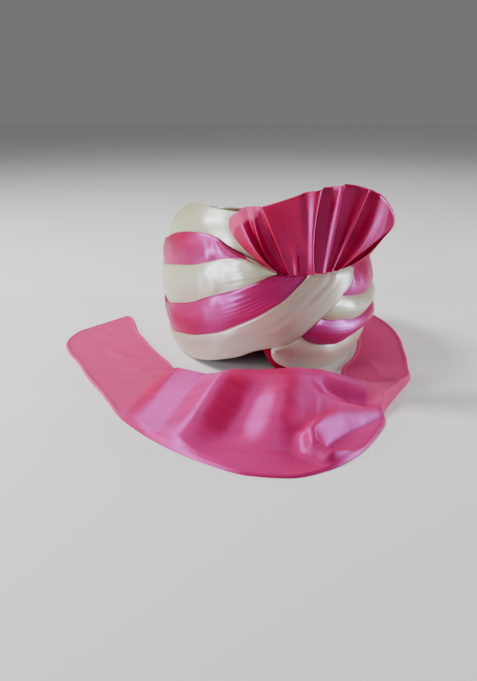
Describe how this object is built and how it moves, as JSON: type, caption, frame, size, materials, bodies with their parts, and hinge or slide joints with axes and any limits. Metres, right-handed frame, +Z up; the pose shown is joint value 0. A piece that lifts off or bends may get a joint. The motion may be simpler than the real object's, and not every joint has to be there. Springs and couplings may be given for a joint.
{
  "type": "turban",
  "caption": "Ready-tied turban: crossing satin bands round a soft cap, a pleated fan standing at the front and a loose tail lying in front.",
  "frame": {"origin": "middle of the footprint, on the surface the turban rests on", "axes": "+Z up; -Y towards the front, where the wraps cross over the forehead arch; +X to the right seen from the front"},
  "size_m": [0.3738, 0.4834, 0.1883],
  "materials": {
    "crown_cap": "satin",
    "wrap_1_cream": "satin",
    "wrap_2_pink": "satin",
    "wrap_3_cream": "satin",
    "wrap_4_pink": "satin",
    "wrap_5_cream": "satin",
    "fan": "satin",
    "tail": "satin"
  },
  "bodies": {
    "root": {"crown_cap": "crown_cap", "wrap_1_cream": "wrap_1_cream", "wrap_2_pink": "wrap_2_pink", "wrap_3_cream": "wrap_3_cream", "wrap_4_pink": "wrap_4_pink", "wrap_5_cream": "wrap_5_cream", "fan": "fan", "tail": "tail"}
  },
  "joints": []
}
